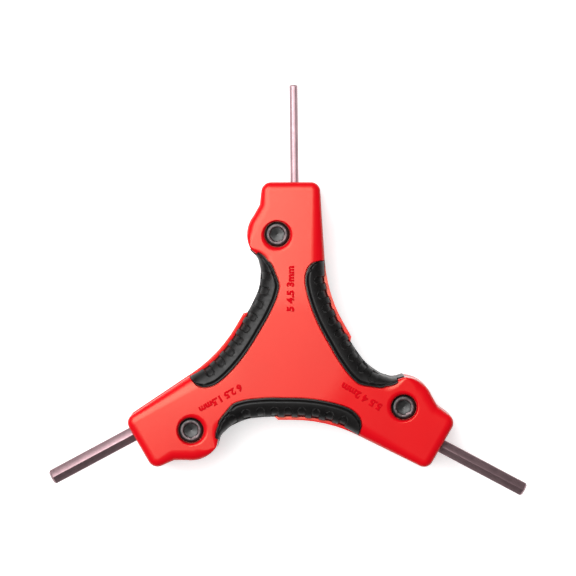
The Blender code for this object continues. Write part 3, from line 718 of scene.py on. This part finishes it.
def grip_path():
    """The outer edge of the grip that follows the top arm counter-clockwise, in that arm's frame."""
    outline = handle_outline()
    start, end = grip_start(), GRIP_END_SHARE * WAIST_RADIUS
    distances = [0.0] * len(outline)
    first = waist_points()[0][1]
    for index, across in waist_points():
        taper = min(1, max(0, (end - across) / (GRIP_TAPER_SHARE * ARM_HALF_WIDTH)))
        on_lobe = across < lobe_step() + SKIRT_STEP
        wall = SKIRT_WALL * skirt_share(across - first)
        distances[index] = -FIT_GAP - wall if on_lobe else LIP_WIDTH * taper
    moved = inset(outline, distances)
    path = [(moved[index], across) for index, across in waist_points()]
    chosen = []
    for (a, a_across), (b, b_across) in zip(path, path[1:]):
        for limit in (start, end):
            if a_across < limit <= b_across:
                share = (limit - a_across) / (b_across - a_across)
                chosen.append(tuple(p + share * (q - p) for p, q in zip(a, b)))
        if start < b_across < end:
            chosen.append(b)
    return [turned_point(point, -ARM_TURNS["top"]) for point in chosen]


def even_path(path, step):
    """A path with points at even steps, its corners eased, and the heading at each point."""
    points = [Vector(point) for point in path]
    for _ in range(PATH_EASING):
        dense = [points[0]]
        for a, b in zip(points, points[1:]):
            dense += [a.lerp(b, share) for share in CORNER_CUT_SHARES]
        points = dense + [points[-1]]
    lengths = [0.0]
    for a, b in zip(points, points[1:]):
        lengths.append(lengths[-1] + (b - a).length)
    count = math.ceil(lengths[-1] / step)
    even = []
    place = 0
    for number in range(count + 1):
        distance = lengths[-1] * number / count
        while place < len(points) - 2 and lengths[place + 1] < distance:
            place += 1
        share = (distance - lengths[place]) / (lengths[place + 1] - lengths[place])
        even.append(points[place].lerp(points[place + 1], share))
    stations = []
    for number, point in enumerate(even):
        before, after = even[max(0, number - 1)], even[min(count, number + 1)]
        heading = math.atan2(after.y - before.y, after.x - before.x)
        stations.append((lengths[-1] * number / count, point.x, point.y, heading))
    return stations


def shoulder(share):
    """Height of the grip's outer surface, from its outer edge (0) to its inner border (1)."""
    return GRIP_EDGE + GRIP_DROP * math.sqrt(max(0, 1 - (1 - share) ** 2))


def grip_width(distance, total):
    """The grip's width, which narrows to a slender end at the lobe and a round one at the flank."""
    lobe_share = 1 - (1 - min(1, distance / GRIP_LOBE_END)) ** GRIP_TAPER_POWER
    flank_share = math.sqrt(1 - (1 - min(1, (total - distance) / GRIP_FLANK_END)) ** 2)
    return GRIP_TIP + min(lobe_share, flank_share) * (GRIP_WIDTH - GRIP_TIP)


def u_depth(distance, across):
    """Depth of the U-ended grooves, which run out to the grip's edge."""
    number = min(U_COUNT - 1, max(0, round((distance - U_FIRST) / U_PITCH)))
    beside = abs(distance - U_FIRST - number * U_PITCH)
    if across > U_REACH - U_HALF_WIDTH:
        beside = math.hypot(beside, across - U_REACH + U_HALF_WIDTH)
    return U_DEPTH * smooth_step((U_HALF_WIDTH - beside) / U_WALL)


def border_depth(from_border):
    """Depth of the fine groove beside the bead on the grip's inner border."""
    middle = BEAD_WIDTH + BORDER_GROOVE_WIDTH / 2
    beside = abs(from_border - middle) / (BORDER_GROOVE_WIDTH / 2)
    rim = max(0, BEAD_WIDTH / 2 - from_border)
    groove = BORDER_GROOVE_DEPTH * smooth_step(BORDER_GROOVE_STEEPNESS * (1 - beside))
    return groove + rim * rim / BEAD_WIDTH


def grip_top(distance, width):
    """The grip's outer surface at one station, from its outer edge to its inner border."""
    points = []
    border_fade = smooth_step((width - GRIP_TIP) / (U_REACH - GRIP_TIP))
    u_fade = smooth_step((width - U_REACH) / (GRIP_WIDTH - U_REACH))
    for step in range(GRIP_TURNS + 1):
        turn = math.pi / 2 * step / GRIP_TURNS
        share = 1 - math.cos(turn)
        across = share * width
        depth = u_fade * u_depth(distance, across) + border_fade * border_depth(width - across)
        length = math.hypot(GRIP_DROP * math.cos(turn), width * math.sin(turn))
        out, up = -GRIP_DROP * math.cos(turn) / length, width * math.sin(turn) / length
        points.append((across - out * depth, shoulder(share) - up * depth))
    return points


def grip_under(width, gap=0.0):
    """The grip's under side at one station, or its room's floor where a gap is given."""
    points = [(0.0, GRIP_EDGE - GRIP_EDGE_THICKNESS - gap)]
    for out, up in round_steps(GRIP_UNDER_STEPS):
        share = 1 - out
        thickness = GRIP_EDGE_THICKNESS + share * (GRIP_THICKNESS - GRIP_EDGE_THICKNESS)
        points.append((share * width + out * (GRIP_EDGE_WALL + gap), shoulder(share) - thickness - gap))
    return points


def placed_profile(profile, x, y, heading, side, turn):
    """A profile of (across, height) at one station, on the front (side 1) or the rear (side -1)."""
    loop = []
    for across, height in profile:
        place = (x - across * math.sin(heading), y + across * math.cos(heading))
        px, py = turned_point(place, turn)
        loop.append((px, py, FACE + side * (height - face_drop(px, py))))
    return loop


def grip_mesh(name, side, turn):
    stations = even_path(grip_path(), GRIP_STEP)
    total = stations[-1][0]
    loops = []
    for distance, x, y, heading in stations:
        width = grip_width(distance, total)
        profile = grip_under(width) + grip_top(distance, width)[::-1]
        loops.append(placed_profile(profile, x, y, heading, side, turn))
    return mesh_of_loops(name, loops)


def grip_room_mesh(name, side, turn):
    """The room that a grip takes out of its shell, with an eased rim at the grip's inner border."""
    stations = even_path(grip_path(), 2 * GRIP_STEP)
    total = stations[-1][0]
    loops = []
    for distance, x, y, heading in stations:
        width = grip_width(distance, total)
        profile = [(-OVERRUN, GRIP_EDGE - LIP_STEP), (0, GRIP_EDGE - LIP_STEP)]
        profile += grip_under(width, FIT_GAP)[1:]
        profile[-1] = (width + FIT_GAP, profile[-1][1])
        for ahead, up in round_steps(RIM_STEPS, RIM_ROUND):
            profile.append((width + FIT_GAP + RIM_ROUND - ahead, FACE - RIM_ROUND + up))
        profile += [(width + FIT_GAP + RIM_ROUND, FACE + OVERRUN), (-OVERRUN, FACE + OVERRUN)]
        share = 2 * distance / total - 1
        x, y = x + share * FIT_GAP * math.cos(heading), y + share * FIT_GAP * math.sin(heading)
        loops.append(placed_profile(profile, x, y, heading, side, turn))
    return mesh_of_loops(name, loops)


def skirt_mesh(name, side, turn):
    """The skirt that covers the wall at the lobe, down to the parting plane or the slot."""
    outline = handle_outline()
    start = grip_start()
    inner = inset_evenly(outline, -FIT_GAP)
    outer = inset_evenly(outline, SKIRT_STEP - FIT_GAP - SKIRT_WALL)
    stations = [(inner[index], outer[index], across)
                for index, across in waist_points() if across < lobe_step() - SKIRT_STEP]
    loops = []
    for near, far, across in stations:
        share = skirt_share(across - stations[0][2])
        far = tuple(p + share * (q - p) for p, q in zip(near, far))
        drop = face_drop(*near)
        edge = FACE - EDGE_SHARE * LOBE_ROUND
        top = (edge if across < start else GRIP_EDGE - GRIP_EDGE_THICKNESS / 2) - drop
        low = PARTING_GAP / 2 if across < SKIRT_END_SHARE * WAIST_RADIUS else SLOT_TOP + FIT_GAP
        loop = []
        for point, height in ((near, low), (far, low), (far, top), (near, top)):
            loop.append(turned_point(point, turn - ARM_TURNS["top"]) + (FACE + side * height,))
        loops.append(loop)
    return mesh_of_loops(name, loops)


def make_grip(arm, front):
    side = 1 if front else -1
    turn = ARM_TURNS[arm]
    node = f"{'front' if front else 'rear'}_grip_{GRIP_NAMES[arm]}"
    grip = make_object(f"{node}_rubber", grip_mesh(node, side, turn))
    combine(grip, [skirt_mesh(f"{node}_skirt", side, turn)], "UNION")
    shade(grip.data, GRIP_SHARP_TURN)
    finish_piece(grip, "handle", node, "black_rubber")


# Shells
def is_inside(outline, point):
    x, y = point
    inside = False
    for (ax, ay), (bx, by) in zip(outline, outline[1:] + outline[:1]):
        if (ay > y) != (by > y) and x < ax + (y - ay) * (bx - ax) / (by - ay):
            inside = not inside
    return inside


def face_cap(outline):
    """Points spread over the face inside an outline, with the triangles that join it and them."""
    margin = inset_evenly(outline, FACE_GRID / 2)
    row_height = FACE_GRID / CORNER_SHARE
    rows = math.ceil(ARM_REACH / row_height)
    points = []
    for row in range(-rows, rows + 1):
        for column in range(-rows, rows + 1):
            point = ((column + row % 2 / 2) * FACE_GRID, row * row_height)
            if is_inside(margin, point):
                points.append(point)
    ring = list(range(len(outline)))
    triangles = delaunay_2d_cdt(outline + points, [], [ring], KEEP_INSIDE, 0.0)[2]
    return points, triangles


def edge_loops(side):
    """Loops round a shell: its wall from the parting plane, then its rounded edge up to the face."""
    outline = handle_outline()
    rounds = edge_rounds(outline)
    loops = []
    for ahead, up in round_steps(PARTING_STEPS, PARTING_ROUND):
        height = PARTING_GAP / 2 + PARTING_ROUND - ahead
        loops.append(at_height(inset_evenly(outline, PARTING_ROUND - up), FACE + side * height))
    for ahead, up in round_steps(EDGE_STEPS):
        moved = inset(outline, [size * (1 - ahead) for size in rounds])
        loops.append([(x, y, FACE + side * (FACE - face_drop(x, y) - EDGE_SHARE * size * (1 - up)))
                      for (x, y), size in zip(moved, rounds)])
    return loops


def recess_mesh(name, arm):
    """The recess for a screw's head, whose broad round rim leans inwards and meets the domed face."""
    place = pivot_place(arm)
    loops = [at_height(moved_outline(circle(RECESS_RADIUS), place), FACE + SEAT)]
    for ahead, up in round_steps(RECESS_STEPS, turn=RECESS_TURN):
        shift = polar(-RECESS_LEAN * (1 - ahead), ARM_TURNS[arm])
        centre = tuple(p + q for p, q in zip(place, shift))
        rim = moved_outline(circle(RECESS_RADIUS + RECESS_RIM * (1 - ahead)), centre)
        loops.append([(x, y, 2 * FACE - face_drop(x, y) - RECESS_RIM * (1 - up)) for x, y in rim])
    loops.append([(x, y, z + OVERRUN) for x, y, z in loops[-1]])
    return mesh_of_loops(name, loops)


def nut_room_mesh(name, arm):
    """The hexagonal pocket for a nut in the rear face, with an eased rim."""
    loops = []

    def add_loop(extra, height, lift):
        size = NUT_SIZE + 2 * (FIT_GAP + extra)
        outline = moved_outline(hexagon(size, NUT_SIDE_STEPS), pivot_place(arm), ARM_TURNS[arm])
        loop = []
        for x, y in outline:
            level = FACE - face_drop(x, y) - RIM_ROUND if height is None else height
            loop.append((x, y, FACE - level - lift))
        loops.append(loop)

    add_loop(0.0, SEAT, 0.0)
    for ahead, up in round_steps(RIM_STEPS, RIM_ROUND):
        add_loop(RIM_ROUND - ahead, None, up)
    add_loop(RIM_ROUND, None, RIM_ROUND + OVERRUN)
    return mesh_of_loops(name, loops)


def prism_mesh(name, outline, low, high):
    return mesh_of_loops(name, [at_height(outline, low), at_height(outline, high)])


def set_face_normals(mesh, side):
    """Gives the domed face its exact directions, so that its cuts leave no marks in the gloss."""
    directions = []
    for polygon in mesh.polygons:
        corners = [mesh.vertices[index].co for index in polygon.vertices]
        on_face = all(abs(side * (co.z - FACE) - FACE + face_drop(co.x, co.y)) < FACE_NEARNESS
                      for co in corners)
        for co in corners:
            normal = face_normal(co.x, co.y)
            directions.append((normal.x, normal.y, side * normal.z) if on_face else (0, 0, 0))
    mesh.normals_split_custom_set(directions)


def make_shell(front):
    """One half of the handle, with its slots, grip rooms, recesses or nut rooms, and peg."""
    side = 1 if front else -1
    node = "front_shell" if front else "rear_shell"
    loops = edge_loops(side)
    points, triangles = face_cap([(x, y) for x, y, height in loops[-1]])
    raised = [(x, y, FACE + side * (FACE - face_drop(x, y))) for x, y in points]
    shell = make_object(f"{node}_plastic", mesh_of_loops(node, loops, cap=(raised, triangles)))
    outside = FACE + side * (FACE + OVERRUN)
    cutters = []
    for arm, turn in ARM_TURNS.items():
        room = [turned_point(point, turn) for point in slot_outline()]
        cutters.append(prism_mesh(f"slot_{arm}", room, FACE - side * OVERRUN, FACE + side * SLOT_TOP))
        cutters.append(grip_room_mesh(f"grip_room_{arm}", side, turn))
        bore = moved_outline(circle(SHANK_RADIUS + FIT_GAP), pivot_place(arm))
        cutters.append(prism_mesh(f"bore_{arm}", bore, FACE, outside))
        head_room = recess_mesh if front else nut_room_mesh
        cutters.append(head_room(f"head_room_{arm}", arm))
    if not front:
        cutters.append(prism_mesh("peg_room", circle(PEG_RADIUS + FIT_GAP),
                                  FACE - PEG_HEIGHT - FIT_GAP, FACE + OVERRUN))
    combine(shell, cutters)
    if front:
        peg = prism_mesh("peg", circle(PEG_RADIUS), FACE - PEG_HEIGHT, FACE + PEG_HEIGHT)
        combine(shell, [peg], "UNION")
    shade(shell.data)
    set_face_normals(shell.data, side)
    finish_piece(shell, "handle", node, "red_plastic")


# Raised key sizes: text, start and end along the arm, side, and whether it reads inwards
LABELS = {
    "top": ("5 4.5 3mm", 18.9 * MM, 37.6 * MM, 0.1 * MM, False),
    "left": ("6 2.5 1.5mm", 23.3 * MM, 43.0 * MM, 0.2 * MM, False),
    "right": ("5.5 4 2mm", 23.6 * MM, 42.3 * MM, 0.7 * MM, True),
}


def make_label(arm):
    """The arm's key sizes as raised figures that follow the domed face."""
    text, start, end, side, inwards = LABELS[arm]
    curve = bpy.data.curves.new(f"sizes_{arm}", "FONT")
    curve.body = text
    curve.extrude = DIGIT_THICKNESS_SHARE / 2
    curve.bevel_depth = DIGIT_WEIGHT_SHARE
    curve.bevel_resolution = DIGIT_BEVEL_STEPS
    curve.space_character = DIGIT_SPACING
    holder = make_object(f"sizes_{arm}_outline", curve)
    mesh = evaluated_mesh(holder)
    bpy.data.objects.remove(holder, do_unlink=True)
    points = [vertex.co.copy() for vertex in mesh.vertices]
    thickness = DIGIT_THICKNESS_SHARE / 2 + DIGIT_WEIGHT_SHARE
    left, right = min(p.x for p in points), max(p.x for p in points)
    low, high = min(p.y for p in points), max(p.y for p in points)
    for vertex, point in zip(mesh.vertices, points):
        along = start + (point.x - left) / (right - left) * (end - start)
        across = side + ((point.y - low) / (high - low) - 0.5) * DIGIT_HEIGHT
        if inwards:
            along, across = start + end - along, 2 * side - across
        x, y = turned_point((along, across), ARM_TURNS[arm])
        level = 2 * FACE - face_drop(x, y)
        vertex.co = (x, y, level + DIGIT_RISE * point.z / thickness)
    label = make_object(f"sizes_{arm}", mesh)
    finish_piece(label, "handle", None, "red_plastic", MATERIALS["number_plastic"])


# Pivots and keys
def screw_mesh(name, place, turn):
    """A button-head screw, with a thin chamfer round its hexagonal socket and a dished socket floor."""
    seat = SEAT + FIT_GAP
    top = seat + HEAD_HEIGHT
    rim_radius = SOCKET_SIZE * CORNER_SHARE / 2 + RIM_EASING
    loops = []

    def add_circle(radius, height):
        loops.append(at_height(moved_outline(circle(radius), place, turn), FACE + height))

    def add_hexagon(height):
        outline = hexagon(SOCKET_SIZE, ROUND_STEPS // HEXAGON_SIDES)
        loops.append(at_height(moved_outline(outline, place, turn), FACE + height))

    add_circle(SHANK_RADIUS - SHANK_CHAMFER, -SEAT - NUT_HEIGHT)
    add_circle(SHANK_RADIUS, -SEAT - NUT_HEIGHT + SHANK_CHAMFER)
    add_circle(SHANK_RADIUS, seat)
    add_circle(HEAD_RADIUS - SHANK_CHAMFER, seat)
    add_circle(HEAD_RADIUS, seat + SHANK_CHAMFER)
    for across, up in round_steps(HEAD_STEPS):
        radius = HEAD_FLAT_RADIUS + across * (HEAD_RADIUS - HEAD_FLAT_RADIUS)
        add_circle(radius, seat + HEAD_WALL + up * (HEAD_HEIGHT - HEAD_WALL))
    add_circle(rim_radius + RIM_EASING, top)
    add_circle(rim_radius, top - RIM_DROP)
    add_hexagon(top - SOCKET_CHAMFER)
    add_hexagon(top - SOCKET_DEPTH)
    add_circle(DISH_RADIUS, top - SOCKET_DEPTH)
    add_circle(DISH_TIP, top - SOCKET_DEPTH - DISH_DEPTH)
    return mesh_of_loops(name, loops)


def make_screw(arm):
    node = f"pivot_screw_{arm}"
    screw = make_object(f"{node}_steel", screw_mesh(node, pivot_place(arm), SOCKET_TURNS[arm]))
    shade(screw.data)
    finish_piece(screw, "handle", node, "black_steel")
    # The flat ring and the socket's chamfer take a lighter steel, a painted highlight of the lit ring
    screw.data.materials.append(MATERIALS["ring_highlight"])
    top = FACE + SEAT + FIT_GAP + HEAD_HEIGHT
    centre = Vector(pivot_place(arm))
    for polygon in screw.data.polygons:
        radius = (polygon.center.xy - centre).length
        if polygon.center.z > top - SOCKET_CHAMFER and radius < HEAD_FLAT_RADIUS:
            polygon.material_index = 1


def make_refined(node_name, width):
    """A CAD node's own shape with its edges softened."""
    bm = bmesh.new()
    bm.from_mesh(NODES[node_name].data)
    bmesh.ops.remove_doubles(bm, verts=bm.verts, dist=WELD_STEP)
    bmesh.ops.dissolve_limit(bm, angle_limit=math.radians(FLAT_TURN), verts=bm.verts, edges=bm.edges)
    mesh = bpy.data.meshes.new(f"{node_name}_refined")
    bm.to_mesh(mesh)
    bm.free()
    piece = make_object(f"{node_name}_steel", mesh)
    modifier = piece.modifiers.new("softened_edges", "BEVEL")
    modifier.width = width
    modifier.segments = BEVEL_STEPS
    modifier.limit_method = "ANGLE"
    modifier.angle_limit = math.radians(BEVEL_TURN)
    apply_modifiers(piece)
    shade(piece.data, METAL_SHARP_TURN)
    return piece


def body_of(node_name):
    bodies = frame["record"]["behaviour"]["bodies"]
    return next(body for body, nodes in bodies.items() if node_name in nodes)


for is_front in (True, False):
    make_shell(is_front)
    for arm_name in ARM_TURNS:
        make_grip(arm_name, is_front)
for arm_name in ARM_TURNS:
    make_screw(arm_name)
    make_label(arm_name)
for node_name in NODES:
    slot_name = slot_of(node_name)
    if slot_name in ("key_steel", "bright_steel") or "nut" in node_name:
        edge = KEY_BEVEL if slot_name == "key_steel" else METAL_BEVEL
        finish_piece(make_refined(node_name, edge), body_of(node_name), node_name, slot_name)


# Floor, light and camera
def make_floor():
    mesh = bpy.data.meshes.new("floor")
    half = FLOOR_SIZE / 2
    mesh.from_pydata([(-half, -half, 0), (half, -half, 0), (half, half, 0), (-half, half, 0)], [],
                     [(0, 1, 2, 3)])
    floor = make_object("floor", mesh)
    material, tree, shader = new_material("pale_floor", (FLOOR_GREY,) * 3, FLOOR_ROUGHNESS)
    shader.inputs["Specular IOR Level"].default_value = 0.0
    path = add_node(tree, "ShaderNodeLightPath")
    seen = path.outputs["Is Camera Ray"]
    for output in ("Is Glossy Ray", "Is Transmission Ray"):
        either = add_node(tree, "ShaderNodeMath", operation="MAXIMUM")
        tree.links.new(seen, either.inputs[0])
        tree.links.new(path.outputs[output], either.inputs[1])
        seen = either.outputs[0]
    strength = add_node(tree, "ShaderNodeMath", operation="MULTIPLY")
    strength.inputs[1].default_value = FLOOR_GLOW
    tree.links.new(seen, strength.inputs[0])
    tree.links.new(strength.outputs[0], shader.inputs["Emission Strength"])
    shader.inputs["Emission Color"].default_value = (1.0, 1.0, 1.0, 1.0)
    mesh.materials.append(material)


def make_softbox():
    data = bpy.data.lights.new("overhead_softbox", "AREA")
    data.shape = "DISK"
    data.size = SOFTBOX_DIAMETER
    data.energy = SOFTBOX_WATTS
    light = make_object("overhead_softbox", data)
    light.location = SOFTBOX_PLACE
    light.rotation_euler = (-Vector(SOFTBOX_PLACE)).to_track_quat("-Z", "Y").to_euler()


def make_world():
    world = bpy.data.worlds.new("dim_studio")
    world.use_nodes = True
    colour = (WORLD_GREY,) * 3 + (1.0,)
    world.node_tree.nodes["Background"].inputs["Color"].default_value = colour
    bpy.context.scene.world = world


def make_camera():
    data = bpy.data.cameras.new("camera")
    data.sensor_width = SENSOR_MM
    data.lens = SENSOR_MM * VIEW_DISTANCE / VIEW_WIDTH
    camera = make_object("camera", data)
    tilt = math.radians(VIEW_TILT)
    target = Vector(VIEW_CENTRE + (CAD_BOX[1][2],))
    camera.location = target + VIEW_DISTANCE * Vector((0, math.sin(tilt), math.cos(tilt)))
    camera.rotation_euler = (-tilt, 0, 0)
    bpy.context.scene.camera = camera


make_floor()
make_camera()
make_softbox()
make_world()
bpy.context.scene.view_settings.view_transform = "Standard"
